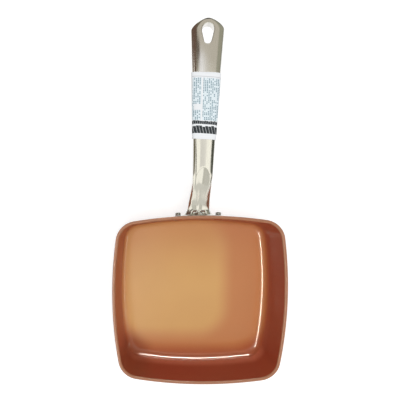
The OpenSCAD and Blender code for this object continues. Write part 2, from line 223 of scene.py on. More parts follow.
def vessel_profile():
    """Rows of (half width, height, corner radius): up the outside, over the lip and down to the floor."""
    bend_steps, wall_steps, lip_steps = 18, 8, 28
    sweep = math.pi / 2 - WALL_LEAN
    out_r = BEND_R + WALL_T
    out_z = PLATE_PROUD + out_r
    out_x = outer_x(out_z) - out_r / math.cos(WALL_LEAN)
    in_z = FLOOR_Z + BEND_R
    in_x = inner_x(in_z) - BEND_R / math.cos(WALL_LEAN)
    profile = []
    for i in range(bend_steps + 1):
        a = sweep * i / bend_steps
        x = out_x + out_r * math.sin(a)
        profile.append((x, out_z - out_r * math.cos(a), outer_corner(x)))
    under_lip = RIM_Z - LIP_H / 2
    wall_foot = profile[-1][1]
    for i in range(1, wall_steps):
        z = wall_foot + (under_lip - wall_foot) * i / wall_steps
        profile.append((outer_x(z), z, outer_corner(outer_x(z))))
    meet = 2 * (outer_x(under_lip) - RIM_X) / LIP_W - 1
    start = -math.acos(signed_power(meet, LIP_ROUND / 2))
    for i in range(lip_steps + 1):
        a = start + (math.pi - start) * i / lip_steps
        x = RIM_X + LIP_W / 2 * (1 + signed_power(math.cos(a), 2 / LIP_ROUND))
        z = RIM_Z + LIP_H / 2 * signed_power(math.sin(a), 2 / LIP_ROUND)
        profile.append((x, z, CORNER_R - (HALF_W - x)))
    for i in range(1, wall_steps):
        z = RIM_Z + (in_z - RIM_Z) * i / wall_steps
        profile.append((inner_x(z), z, inner_corner(inner_x(z))))
    for i in range(bend_steps, -1, -1):
        a = sweep * i / bend_steps
        x = in_x + BEND_R * math.sin(a)
        profile.append((x, in_z - BEND_R * math.cos(a), inner_corner(x)))
    return profile


def make_vessel(material):
    rings = [[(x, y, z) for x, y in rounded_square(half, bow_at(half), corner)]
             for half, z, corner in vessel_profile()]
    # Under the floor the rounded square passes over into the round recess for the plate
    recess_r = PLATE_R + PLATE_GAP
    top = PLATE_T + PLATE_GAP
    foot = rings[0]
    under = []
    recess = (0.0, top), (0.35, top), (0.9, top), (1.0, top), (1.0, PLATE_PROUD + 0.25), (1.004, PLATE_PROUD)
    for share, z in recess:
        ring = []
        for x, y, _ in foot:
            r = max(0.5, recess_r * share)
            a = math.atan2(y, x)
            ring.append((r * math.cos(a), r * math.sin(a), z))
        under.append(ring)
    middle = []
    for share in (0.97, 0.9, 0.8, 0.66, 0.5, 0.33, 0.16, 0.03):
        middle.append([(x * share, y * share, FLOOR_Z) for x, y, _ in rings[-1]])
    rings = under + rings + middle
    points = [p for ring in rings for p in ring]
    faces = ring_faces(len(rings), RING_COUNT)
    faces.append(tuple(reversed(range(RING_COUNT))))
    faces.append(tuple(len(points) - RING_COUNT + j for j in range(RING_COUNT)))
    # Metal that stands in the plate's lock holes
    boss_r = LOCK_HOLE_R - PLATE_GAP
    low, high = 0.02, top + 0.3
    profile = [(0, low), (boss_r * 0.8, low), (boss_r, BOSS_BEVEL), (boss_r, high), (0, high)]
    form, form_faces = lathe(profile, 24)
    for x, y in lock_hole_places():
        add_form(points, faces, [(px + x, py + y, pz) for px, py, pz in form], form_faces)
    return make_piece("pan_vessel", points, faces, material)


# Base plate

def lock_hole_places():
    """Each ring of holes holds six more than the ring inside it."""
    for ring in range(1, LOCK_RINGS + 1):
        for i in range(6 * ring):
            a = math.pi / 3 * i / ring
            yield ring * LOCK_RING_STEP * math.cos(a), ring * LOCK_RING_STEP * math.sin(a)


def make_plate(material):
    bm = bmesh.new()
    outlines = [(0, 0, PLATE_R, 160)] + [(x, y, LOCK_HOLE_R, 28) for x, y in lock_hole_places()]
    for cx, cy, r, steps in outlines:
        ring = [bm.verts.new(((cx + r * math.cos(2 * math.pi * j / steps)) * MM,
                              (cy + r * math.sin(2 * math.pi * j / steps)) * MM, 0)) for j in range(steps)]
        for j in range(steps):
            bm.edges.new((ring[j], ring[(j + 1) % steps]))
    bmesh.ops.triangle_fill(bm, use_beauty=True, use_dissolve=False, edges=bm.edges[:], normal=(0, 0, -1))
    raised = bmesh.ops.extrude_face_region(bm, geom=bm.faces[:] + bm.edges[:] + bm.verts[:])
    for v in raised["geom"]:
        if isinstance(v, bmesh.types.BMVert):
            v.co.z += PLATE_T * MM
    bmesh.ops.recalc_face_normals(bm, faces=bm.faces)
    rims = [e for e in bm.edges if all(abs(v.co.z) < 1e-9 for v in e.verts)
            and len(e.link_faces) == 2 and abs(e.calc_face_angle(0)) > 1]
    bmesh.ops.bevel(bm, geom=rims, offset=PLATE_BEVEL * MM, segments=3, profile=0.5, affect="EDGES")
    mesh = bpy.data.meshes.new("base_plate_disc")
    bm.to_mesh(mesh)
    bm.free()
    finish_shading(mesh, 35)
    mesh.materials.append(material)
    piece = bpy.data.objects.new("base_plate_disc", mesh)
    bpy.context.scene.collection.objects.link(piece)
    return piece


# The handle's form

def knee_share(s):
    return clamp(s * HANDLE_LEN / KNEE_LEN)


def seam_z(s):
    k = knee_share(s)
    knee = KNEE_RISE * k * k * (3 - 2 * k)
    return MOUTH_Z + knee + GRIP_RISE * s * (1 + GRIP_BOW_SHARE - GRIP_BOW_SHARE * s)


def seam_turn(s):
    k = knee_share(s)
    return math.atan(KNEE_RISE / KNEE_LEN * 6 * k * (1 - k)
                     + GRIP_RISE / HANDLE_LEN * (1 + GRIP_BOW_SHARE - 2 * GRIP_BOW_SHARE * s))


def half_width(s):
    if s < WAIST_SHARE:
        return WAIST_W / 2 + (MOUTH_W - WAIST_W) / 2 * (1 - s / WAIST_SHARE) ** 2
    return WAIST_W / 2 + (END_W - WAIST_W) / 2 * ((s - WAIST_SHARE) / (TIP_SHARE - WAIST_SHARE)) ** 1.5


def section_height(s, side):
    start = CROWN_H if side > 0 else BELLY_H
    return start + (END_H - start) * s * s


def crown_power(s):
    """The crown is rounder near the mouth and boxier along the grip."""
    return CROWN_POWER - ROOT_ROUNDING * (1 - clamp(s / ROOT_SHARE)) ** 2


def in_tip(s):
    return clamp((s - TIP_SHARE) / (1 - TIP_SHARE))


def tip_width(s):
    return (1 - in_tip(s) ** TIP_POWER) ** (1 / TIP_POWER)


def tip_height(s):
    return (1 - in_tip(s) ** 4) ** 0.25


def dimple(x, s):
    """Depth of the thumb dimple: round at its far end, drawn out to a tail at the mouth."""
    run = s * HANDLE_LEN
    past = (run - DIMPLE_Y) / DIMPLE_ROUND
    if run > DIMPLE_Y:
        if past >= 1:
            return 0.0
        half, deep = DIMPLE_W / 2 * math.sqrt(1 - past * past), 1 - past * past
    else:
        share = max(0.0, run / DIMPLE_Y)
        half = (DIMPLE_MOUTH_W + (DIMPLE_W - DIMPLE_MOUTH_W) * share ** 2.2) / 2
        deep = TAIL_DEPTH_SHARE + (1 - TAIL_DEPTH_SHARE) * share
    return DIMPLE_DEPTH * deep * max(0.0, 1 - (x / half) ** 2) ** 1.5


def handle_point(s, turn_share, side, inset):
    """s runs along the handle; turn_share runs from the left edge of a section, 0, to the right one, 1."""
    power = crown_power(s) if side > 0 else BELLY_POWER
    a = math.pi * (1 - turn_share)
    w = (half_width(s) - inset) * tip_width(s)
    h = (section_height(s, side) - inset) * tip_height(s)
    x = w * signed_power(math.cos(a), 2 / power)
    n = side * h * abs(math.sin(a)) ** (2 / power) - (dimple(x, s) if side > 0 else 0)
    turn = seam_turn(s)
    return x, MOUTH_Y + s * HANDLE_LEN - n * math.sin(turn), seam_z(s) + n * math.cos(turn)


def surface_height(x, y, side):
    """Height of the handle's outer face over or under a place."""
    s = (y - MOUTH_Y) / HANDLE_LEN
    power = CROWN_POWER if side > 0 else BELLY_POWER
    n = 0.0
    for _ in range(12):
        w = max(1e-6, half_width(s) * tip_width(s))
        n = side * section_height(s, side) * tip_height(s) * max(0.0, 1 - abs(x / w) ** power) ** (1 / power)
        s = clamp((y - MOUTH_Y + n * math.sin(seam_turn(s))) / HANDLE_LEN, 0, BLUNT_SHARE + 0.014)
    return seam_z(s) + n * math.cos(seam_turn(s))


def handle_stations():
    """Close together on the knee and the dimple, and closer still round the tip."""
    body = 130
    shares = [TIP_SHARE * (i / body) ** 1.25 for i in range(body + 1)]
    tip = 22
    for i in range(1, tip + 1):
        shares.append(TIP_SHARE + (1 - TIP_SHARE) * BLUNT_SHARE * math.sin(math.pi / 2 * i / tip) ** 0.9)
    return shares


ACROSS_STEPS = 56


def make_half_shell(name, side, material):
    stations = handle_stations()
    count = ACROSS_STEPS + 1
    shorten = 1 - SHELL_T / HANDLE_LEN
    shares = [k / ACROSS_STEPS for k in range(count)]
    outer = [[handle_point(s, share, side, 0) for share in shares] for s in stations]
    inner = [[handle_point(s * shorten, share, side, SHELL_T) for share in shares] for s in stations]
    rows = len(stations)
    points = [p for row in outer for p in row] + [p for row in inner for p in row]
    base = rows * count
    faces = []
    for i in range(rows - 1):
        for k in range(ACROSS_STEPS):
            a, b = i * count + k, (i + 1) * count + k
            faces.append((a, b, b + 1, a + 1))
            faces.append((base + a, base + a + 1, base + b + 1, base + b))
        for k in (0, ACROSS_STEPS):
            a, b = i * count + k, (i + 1) * count + k
            faces.append((a, base + a, base + b, b))
    last = (rows - 1) * count
    for k in range(ACROSS_STEPS):
        faces.append((k, k + 1, base + k + 1, base + k))
        faces.append((last + k, base + last + k, base + last + k + 1, last + k + 1))
    shell = make_piece(name, points, faces, material)
    cut_hole(shell)
    return shell


def hole_outline(grow, steps=72):
    """The egg-shaped hole round (0, HOLE_Y), wide end away from the vessel, counter-clockwise."""
    r1, r2 = HOLE_WIDE_R + grow, HOLE_NARROW_R + grow
    lean = math.asin((r1 - r2) / HOLE_LEN)
    outline = []
    wide = steps // 2
    for i in range(wide + 1):
        a = -lean + (math.pi + 2 * lean) * i / wide
        outline.append((r1 * math.cos(a), HOLE_Y + r1 * math.sin(a)))
    side = 8
    x1, y1 = outline[-1]
    x2, y2 = -r2 * math.cos(-lean), HOLE_Y - HOLE_LEN + r2 * math.sin(-lean)
    outline += [(x1 + (x2 - x1) * i / side, y1 + (y2 - y1) * i / side) for i in range(1, side)]
    narrow = steps // 3
    for i in range(narrow + 1):
        a = math.pi + lean + (math.pi - 2 * lean) * i / narrow
        outline.append((r2 * math.cos(a), HOLE_Y - HOLE_LEN + r2 * math.sin(a)))
    outline += [(-(x2 + (x1 - x2) * i / side), y2 + (y1 - y2) * i / side) for i in range(1, side)]
    return outline


def cut_hole(shell):
    """Cuts the hanging hole, with room for its liner, through a half shell."""
    outline = hole_outline(LINER_T - LINER_OVERLAP)
    low, high = seam_z(TIP_SHARE) - 20, seam_z(TIP_SHARE) + 20
    count = len(outline)
    points = [(x, y, low) for x, y in outline] + [(x, y, high) for x, y in outline]
    faces = ring_faces(2, count) + [tuple(reversed(range(count))), tuple(count + j for j in range(count))]
    cutter = make_piece("hole_cutter", points, faces, shell.data.materials[0])
    cut = shell.modifiers.new("hole", "BOOLEAN")
    cut.operation, cut.solver, cut.object = "DIFFERENCE", "EXACT", cutter
    finish_shading(baked_modifiers(shell), 40)
    bpy.data.objects.remove(cutter, do_unlink=True)


def make_liner(material):
    """A tube whose softly rounded edges end level with both shells."""
    inside, outside = hole_outline(0), hole_outline(LINER_T)
    count = len(inside)
    section = []
    for k in range(9):
        a = math.pi * k / 8
        section.append((0.5 - 0.5 * math.cos(a), LINER_ROUND * math.sin(a)))
    rings = []
    for side in (1, -1):
        for share, lift in (section if side > 0 else reversed(section)):
            ring = []
            for (xi, yi), (xo, yo) in zip(inside, outside):
                x, y = xi + (xo - xi) * share, yi + (yo - yi) * share
                z = surface_height(x, y, side) + side * (lift - LINER_ROUND)
                ring.append((x, y, z))
            rings.append(ring)
    points = [p for ring in rings for p in ring]
    faces = ring_faces(len(rings), count)
    last = (len(rings) - 1) * count
    faces += [(last + j, j, (j + 1) % count, last + (j + 1) % count) for j in range(count)]
    return make_piece("hang_hole_rim", points, faces, material, 60)


def make_sleeve(material):
    """A card tube round the grip, put on a little askew."""
    rows, around = 40, 2 * ACROSS_STEPS
    lean = SLEEVE_SKEW / HANDLE_LEN / 2

    def loop(share, inset):
        ring = []
        for k in range(around):
            side = 1 if k < ACROSS_STEPS else -1
            t = k / ACROSS_STEPS if side > 0 else 2 - k / ACROSS_STEPS
            s = (SLEEVE_RUN + SLEEVE_LEN * share) / HANDLE_LEN
            e = -math.cos(math.pi * t)
            ring.append(handle_point(s - e * lean, t, side, inset))
        return ring

    outside, inside = -(SLEEVE_GAP + SLEEVE_T), -SLEEVE_GAP
    rings = [loop(0.0, inside), loop(0.0, outside + SLEEVE_EDGE)]
    rings += [loop(0.002 + 0.996 * i / rows, outside) for i in range(rows + 1)]
    rings += [loop(1.0, outside + SLEEVE_EDGE), loop(1.0, inside)]
    points = [p for ring in rings for p in ring]
    faces = ring_faces(len(rings), around)
    last = (len(rings) - 1) * around
    faces += [(last + j, j, (j + 1) % around, last + (j + 1) % around) for j in range(around)]
    return make_piece("card_sleeve", points, faces, material, 50)


# Bracket and rivets

def wall_point(x, z, out):
    """A point on the outer face of the handle's wall, moved out along its normal."""
    a, r = outer_x(z), bow_at(outer_x(z))
    turn = math.asin(x / r)
    return (x + out * math.sin(turn) * math.cos(WALL_LEAN),
            a - r + r * math.cos(turn) + out * math.cos(turn) * math.cos(WALL_LEAN),
            z - out * math.sin(WALL_LEAN))


def closed_loft(rings):
    """Points and faces of a form closed at both ends."""
    count = len(rings[0])
    points = [p for ring in rings for p in ring]
    faces = ring_faces(len(rings), count)
    faces += [tuple(reversed(range(count))), tuple(len(points) - count + j for j in range(count))]
    return points, faces


def flange_form():
    back, front = SEAT_GAP, SEAT_GAP + FLANGE_T
    rings = []
    steps = 40
    for i in range(steps + 1):
        e = math.sin(math.pi / 2 * (2 * i / steps - 1)) * 0.992
        half = FLANGE_H / 2 * (1 - abs(e) ** 4) ** 0.25
        trim = min(FLANGE_EDGE, half * 0.8)
        ring = [(-half, back)]
        ring += [(-half + trim * (1 - math.cos(a)), front - trim * (1 - math.sin(a)))
                 for a in (math.pi / 2 * k / 4 for k in range(5))]
        ring += [(half - trim * (1 - math.cos(a)), front - trim * (1 - math.sin(a)))
                 for a in (math.pi / 2 * (1 - k / 4) for k in range(5))]
        ring += [(half, back)]
        rings.append([wall_point(e * FLANGE_W / 2, FLANGE_Z + z * math.cos(WALL_LEAN), out)
                      for z, out in ring])
    return closed_loft(rings)


def neck_form():
    foot = wall_point(0, FLANGE_Z, SEAT_GAP + FLANGE_T / 2)

    def grown(start, end, t):
        return end + (start - end) * (1 - t) ** NECK_FLARE_POWER

    def neck_point(t, turn_share, side):
        a = math.pi * (1 - turn_share)
        power = crown_power(0) if side > 0 else BELLY_POWER
        w = grown(NECK_W / 2, half_width(0), t)
        h = grown(NECK_H / 2, section_height(0, side), t)
        e = signed_power(math.cos(a), 2 / power)
        n = side * h * abs(math.sin(a)) ** (2 / power)
        if side > 0:
            hollow = max(0.0, 1 - ((abs(e) - HOLLOW_PLACE_SHARE) / HOLLOW_HALF_SHARE) ** 2)
            n -= NECK_HOLLOW * math.sin(math.pi * t) * hollow + t * dimple(e * w, 0)
        turn = -WALL_LEAN + (seam_turn(0) + WALL_LEAN) * t
        y = foot[1] + (MOUTH_Y - foot[1]) * t
        z = foot[2] + (MOUTH_Z - foot[2]) * t
        return e * w, y - n * math.sin(turn), z + n * math.cos(turn)

    rings = []
    for i in range(21):
        t = i / 20
        rings.append([neck_point(t, k / 40, 1) for k in range(40)]
                     + [neck_point(t, 1 - k / 40, -1) for k in range(40)])
    return closed_loft(rings)


def tongue_form():
    half = MOUTH_W / 2 - SHELL_T - TONGUE_GAP - (MOUTH_W - WAIST_W) / 2
    rings = []
    for i in range(-2, 9):
        s = TONGUE_LEN / HANDLE_LEN * i / 8
        turn = seam_turn(max(0, s))
        rings.append([(x * half, MOUTH_Y + s * HANDLE_LEN - h * TONGUE_T / 2 * math.sin(turn),
                       seam_z(s) + h * TONGUE_T / 2 * math.cos(turn))
                      for x, h in ((-1, -1), (-1, 1), (1, 1), (1, -1))])
    return closed_loft(rings)


def make_bracket(material):
    """Flange, neck and tongue grown together, with the small fillets of a casting."""
    points, faces = [], []
    for form, form_faces in (flange_form(), neck_form(), tongue_form()):
        add_form(points, faces, form, form_faces)
    bracket = make_piece("handle_bracket_cast", points, faces, material)
    remesh = bracket.modifiers.new("grown together", "REMESH")
    remesh.mode, remesh.voxel_size = "VOXEL", CASTING_GRAIN * MM
    smooth = bracket.modifiers.new("fillets", "SMOOTH")
    smooth.factor, smooth.iterations = 0.5, CASTING_SMOOTHING
    mesh = baked_modifiers(bracket)
    mesh.materials.clear()
    mesh.materials.append(material)
    finish_shading(mesh, 80)
    return bracket


def rivet_frames():
    """The place of each rivet on the wall, with +Z out of the wall."""
    for side in (-1, 1):
        x = side * RIVET_GAP / 2
        turn = math.asin(x / bow_at(outer_x(FLANGE_Z)))
        yield (Matrix.Translation(wall_point(x, FLANGE_Z, 0)) @ Matrix.Rotation(-turn, 4, "Z")
               @ Matrix.Rotation(-(math.pi / 2 + WALL_LEAN), 4, "X"))


def make_rivet_pieces(name, profile, material):
    form, form_faces = lathe(profile, 40)
    points, faces = [], []
    for place in rivet_frames():
        add_form(points, faces, [place @ Vector(p) for p in form], form_faces)
    return make_piece(name, points, faces, material, 50)


def make_rivets(steel, coat):
    front = SEAT_GAP + FLANGE_T
    r, h = OUTER_HEAD_R, OUTER_HEAD_H
    edge_z = front + h - HEAD_EDGE_H
    outer = [(0, -WALL_T), (SHANK_R, -WALL_T), (SHANK_R, front)]
    outer += [(r - 0.15, front), (r, front + 0.2), (r, edge_z)]
    outer += [(r - HEAD_EDGE + HEAD_EDGE * math.cos(a), edge_z + 1.35 * math.sin(a))
              for a in (math.pi / 2 * k / 5 for k in range(1, 6))]
    outer += [(r * 0.3, front + h - 0.06), (0, front + h)]
    heads = make_rivet_pieces("rivets_outer", outer, steel)
    r, h = INNER_HEAD_R, INNER_HEAD_H
    inner = [(0, -WALL_T - h), (r * 0.35, -WALL_T - h + 0.03), (r * 0.7, -WALL_T - h + 0.16),
             (r * 0.9, -WALL_T - h + 0.42), (r * 0.985, -WALL_T - h + 0.75), (r, -WALL_T - 0.1),
             (r * 0.98, -WALL_T + 0.2), (0, -WALL_T + 0.2)]
    caps = make_rivet_pieces("rivets_inner", inner, coat)
    return heads, caps


# Shader helpers

class Nodes:
    """Adds and links nodes in one tree, and returns sockets."""

    def __init__(self, tree):
        self.tree = tree

    def add(self, kind, **settings):
        node = self.tree.nodes.new(kind)
        for key, value in settings.items():
            setattr(node, key, value)
        return node

    def join(self, source, target):
        if isinstance(source, bpy.types.NodeSocket):
            self.tree.links.new(source, target)
        elif source is not None:
            target.default_value = source

    def math(self, operation, *values, use_clamp=False):
        node = self.add("ShaderNodeMath", operation=operation, use_clamp=use_clamp)
        for value, socket in zip(values, node.inputs):
            self.join(value, socket)
        return node.outputs[0]

    def ramp(self, value, low, high, to_low=0.0, to_high=1.0, soft=True):
        node = self.add("ShaderNodeMapRange")
        node.interpolation_type = "SMOOTHSTEP" if soft else "LINEAR"
        node.clamp = True
        for item, socket in zip((value, low, high, to_low, to_high), node.inputs):
            self.join(item, socket)
        return node.outputs[0]

    def product(self, *values):
        result = values[0]
        for value in values[1:]:
            result = self.math("MULTIPLY", result, value)
        return result

    def reach(self, first, second):
        squares = [self.math("MULTIPLY", value, value) for value in (first, second)]
        return self.math("SQRT", self.math("ADD", *squares))

    def band(self, value, low, high, soft):
        rise = self.ramp(value, low - soft, low + soft)
        return self.math("MULTIPLY", rise, self.ramp(value, high - soft, high + soft, 1.0, 0.0))

    def mix(self, share, first, second):
        node = self.add("ShaderNodeMix", data_type="RGBA")
        self.join(share, node.inputs[0])
        self.join(first, node.inputs[6])
        self.join(second, node.inputs[7])
        return node.outputs[2]

    def noise(self, vector, scale, detail=2.0, roughness=0.5):
        node = self.add("ShaderNodeTexNoise")
        self.join(vector, node.inputs["Vector"])
        self.join(scale, node.inputs["Scale"])
        node.inputs["Detail"].default_value = detail
        node.inputs["Roughness"].default_value = roughness
        return node.outputs[0]

    def place(self):
        return self.add("ShaderNodeTexCoord").outputs["Object"]

    def split(self, vector):
        node = self.add("ShaderNodeSeparateXYZ")
        self.join(vector, node.inputs[0])
        return tuple(node.outputs)

    def millimetres(self, vector):
        return [self.math("DIVIDE", value, MM) for value in self.split(vector)]

    def bump(self, height, strength, distance):
        node = self.add("ShaderNodeBump")
        node.inputs["Strength"].default_value = strength
        node.inputs["Distance"].default_value = distance
        self.join(height, node.inputs["Height"])
        return node.outputs[0]

    def group(self, tree, **values):
        node = self.add("ShaderNodeGroup", node_tree=tree)
        for key, value in values.items():
            self.join(value, node.inputs[key.replace("_", " ")])
        return node


def soft_panel(n, across, along, middle, half, corner, soft):
    """1 inside a panel with round corners and 0 outside it."""
    over = []
    for value, centre, reach in zip((across, along), middle, half):
        off = n.math("ABSOLUTE", n.math("SUBTRACT", value, centre))
        over.append(n.math("MAXIMUM", n.math("SUBTRACT", off, reach - corner), 0.0))
    return n.ramp(n.reach(*over), corner - soft, corner + soft, 1.0, 0.0)


def rgb(red, green, blue):
    return (red, green, blue, 1.0)


def new_group(name, inputs, outputs):
    tree = bpy.data.node_groups.new(name, "ShaderNodeTree")
    for label, kind, default in inputs:
        socket = tree.interface.new_socket(label, in_out="INPUT", socket_type=kind)
        if default is not None:
            socket.default_value = default
    for label, kind in outputs:
        tree.interface.new_socket(label, in_out="OUTPUT", socket_type=kind)
    nodes = Nodes(tree)
    return tree, nodes, nodes.add("NodeGroupInput"), nodes.add("NodeGroupOutput")


def make_handling_group():
    """Soft smudges that raise the roughness here and there."""
    tree, n, source, out = new_group(
        "Handling marks",
        [("Place", "NodeSocketVector", None), ("Roughness", "NodeSocketFloat", 0.2),
         ("Smudge", "NodeSocketFloat", 0.05), ("Smudge Scale", "NodeSocketFloat", 40.0)],
        [("Roughness", "NodeSocketFloat")])
    cloud = n.noise(source.outputs["Place"], source.outputs["Smudge Scale"], 3.0, 0.55)
    mask = n.ramp(cloud, 0.42, 0.68)
    added = n.math("MULTIPLY", mask, source.outputs["Smudge"])
    n.join(n.math("ADD", source.outputs["Roughness"], added, use_clamp=True), out.inputs["Roughness"])
    return tree


def make_brushing_group():
    """Fine polishing lines along one direction: a mask and a height."""
    tree, n, source, out = new_group(
        "Polishing lines",
        [("Place", "NodeSocketVector", None), ("Along", "NodeSocketVector", (1.0, 1.0, 1.0)),
         ("Fineness", "NodeSocketFloat", 900.0)],
        [("Mask", "NodeSocketFloat"), ("Height", "NodeSocketFloat")])
    drawn = n.add("ShaderNodeVectorMath", operation="MULTIPLY")
    n.join(source.outputs["Place"], drawn.inputs[0])
    n.join(source.outputs["Along"], drawn.inputs[1])
    lines = n.noise(drawn.outputs[0], source.outputs["Fineness"], 2.0, 0.6)
    n.join(n.ramp(lines, 0.3, 0.75, soft=False), out.inputs["Mask"])
    n.join(lines, out.inputs["Height"])
    return tree


def new_material(name):
    material = bpy.data.materials.new(name)
    material.use_nodes = True
    tree = material.node_tree
    shader = tree.nodes["Principled BSDF"]
    return material, Nodes(tree), shader


def set_sockets(shader, **values):
    for key, value in values.items():
        shader.inputs[key.replace("_", " ")].default_value = value


# Finishes

FLOOR_COLOUR = rgb(0.585, 0.230, 0.080)
# A lighter golden tone painted on the floor as the reflection of the overhead light
PAINTED_REFLECTION_COLOUR = rgb(0.73, 0.43, 0.145)
WALL_COLOUR = rgb(0.345, 0.058, 0.027)
# A paler red painted on the left wall and bend as painted light
PAINTED_LEFT_LIGHT_COLOUR = rgb(0.62, 0.19, 0.09)
OUTSIDE_COLOUR = rgb(0.48, 0.175, 0.08)
# A paler tone painted over the lip as its reflection
PAINTED_LIP_REFLECTION_COLOUR = rgb(0.41, 0.185, 0.105)
SHADE_COLOUR = rgb(0.22, 0.052, 0.022)
# A paler tone painted as the halo of the highlight above the bend
PAINTED_HALO_COLOUR = rgb(0.60, 0.185, 0.105)
CLOUD_COLOUR, FLAKE_COLOUR = rgb(0.42, 0.15, 0.05), rgb(0.75, 0.42, 0.22)
# The field of the floor that carries a painted golden reflection of the overhead light, and the open part
# that the
# front shade leaves out: middle, half size, corner radius and softness
PAINTED_REFLECTION_FIELD = (-35.0, 22.0), (84.0, 92.0), 44.0, 16.0
OPEN_FIELD = (0, 60), (112, 152), 55, 12
DARK_CORNER, DARK_START, DARK_REACH = (-104.0, -106.0), 16.0, 48.0
FRONT_SHADE, CORNER_SHADE, FAR_SHADE, PAINTED_LEFT_LIGHT_SHARE, PAINTED_HALO_SHARE = 0.70, 0.55, 0.12, 0.35, 0.75
# Heights at which one tone passes over into the next, and the strength of the gloss at each part
WALL_RISE, GLOW_RISE, GLOW_FALL = (FLOOR_Z - 0.5, FLOOR_Z + 14.0), (9.0, 13.0), (15.0, 28.0)
LIP_RISE, OUTSIDE_FALL = (57.2, 58.4), (56.0, 57.0)
FLOOR_GLOSS, WALL_GLOSS, LIP_GLOSS_SHARE = 0.5, 0.12, 0.5
GLOSS_FALL, LIP_GLOSS_FALL = (14.0, 24.0), (57.0, 58.0)


def coat_material(handling):
    """Glossy ceramic coat: copper on the floor, redder up the wall. Painted into the colour: a golden
    reflection of the overhead light on the floor, a paler lip as painted reflection, a paler left wall as
    painted light, a paler band above the front bend as a painted highlight, and painted shade in front,
    toward the back and in the front left corner.
    """
    material, n, shader = new_material("copper_ceramic_coat")
    place = n.place()
    across, along, height = n.millimetres(place)
    # Painted reflection: a lighter golden field on the floor, weaker toward the back
    painted_reflection = n.product(soft_panel(n, across, along, *PAINTED_REFLECTION_FIELD), n.ramp(along, 10.0, 105.0, 0.8, 0.45))
    closed = n.math("SUBTRACT", 1.0, soft_panel(n, across, along, *OPEN_FIELD))
    front = n.product(closed, n.ramp(along, -20.0, -80.0, 0.0, FRONT_SHADE))
    far = n.ramp(along, 50.0, 112.0, 0.0, FAR_SHADE)
    wall = n.ramp(height, *WALL_RISE)
    # Painted light: the left wall and bend are paler
    left = n.ramp(across, -98.0, -110.0, 0.0, PAINTED_LEFT_LIGHT_SHARE)
    # A painted highlight: a paler band on the wall just above the bend, the halo of the line on the bend,
    # strongest in front
    painted_halo = n.product(n.ramp(height, *GLOW_RISE), n.ramp(height, *GLOW_FALL, PAINTED_HALO_SHARE, 0.0),
                     n.ramp(along, -80.0, -100.0, 0.3, 1.0))
    from_corner = (n.math("SUBTRACT", value, start) for value, start in zip((across, along), DARK_CORNER))
    corner = n.ramp(n.reach(*from_corner), DARK_START, DARK_REACH, CORNER_SHADE, 0.0)
    # The outside faces away from the pan's middle
    level = n.add("ShaderNodeVectorMath", operation="MULTIPLY")
    n.join(place, level.inputs[0])
    level.inputs[1].default_value = (1.0, 1.0, 0.0)
    facing = n.add("ShaderNodeVectorMath", operation="DOT_PRODUCT")
    n.join(level.outputs[0], facing.inputs[0])
    n.join(n.add("ShaderNodeTexCoord").outputs["Normal"], facing.inputs[1])
    outside = n.product(n.ramp(facing.outputs["Value"], 0.0, 0.02), n.ramp(height, *OUTSIDE_FALL, 1.0, 0.0))
    # Painted reflection: the paler tone over the lip
    lip = n.ramp(height, *LIP_RISE)
    flakes = n.ramp(n.noise(place, 2600.0, 1.0, 0.5), 0.55, 0.75, 0.0, 0.12)
    clouds = n.ramp(n.noise(place, 9.0, 2.0, 0.5), 0.3, 0.7, 0.0, 0.10)
    colour = n.mix(painted_reflection, FLOOR_COLOUR, PAINTED_REFLECTION_COLOUR)
    colour = n.mix(n.math("MAXIMUM", far, front), colour, WALL_COLOUR)
    layers = ((wall, WALL_COLOUR), (left, PAINTED_LEFT_LIGHT_COLOUR), (painted_halo, PAINTED_HALO_COLOUR), (corner, SHADE_COLOUR),
              (outside, OUTSIDE_COLOUR), (lip, PAINTED_LIP_REFLECTION_COLOUR), (clouds, CLOUD_COLOUR), (flakes, FLAKE_COLOUR))
    for share, tone in layers:
        colour = n.mix(share, colour, tone)
    n.join(colour, shader.inputs["Base Color"])
    marks = n.group(handling, Place=place, Roughness=0.34, Smudge=0.05, Smudge_Scale=22.0)
    n.join(marks.outputs["Roughness"], shader.inputs["Roughness"])
    gloss = n.ramp(height, *GLOSS_FALL, FLOOR_GLOSS, WALL_GLOSS)
    gloss = n.product(gloss, n.ramp(height, *LIP_GLOSS_FALL, 1.0, LIP_GLOSS_SHARE))
    n.join(gloss, shader.inputs["Coat Weight"])
    peel = n.noise(place, 420.0, 1.0, 0.4)
    n.join(n.bump(peel, 0.05, 0.05 * MM), shader.inputs["Normal"])
    set_sockets(shader, Metallic=0.0, Specular_IOR_Level=0.12, Coat_Roughness=0.06, Coat_IOR=1.5)
    return material


# Each steel: colour, roughness, the pull of its polishing lines along X, Y and Z, their fineness and relief
STEELS = (
    ("polished_handle_steel", rgb(0.80, 0.785, 0.75), 0.09, (1.0, 0.03, 1.0), 1400.0, 0.01 * MM),
    ("polished_bracket_steel", rgb(0.76, 0.745, 0.71), 0.13, (1.0, 1.0, 0.05), 1200.0, 0.015 * MM),
    # The rivet steel's colour is painted darker than the handle's, as painted shade
    ("satin_rivet_steel", rgb(0.50, 0.49, 0.47), 0.18, (0.3, 1.0, 1.0), 1500.0, 0.02 * MM),
)


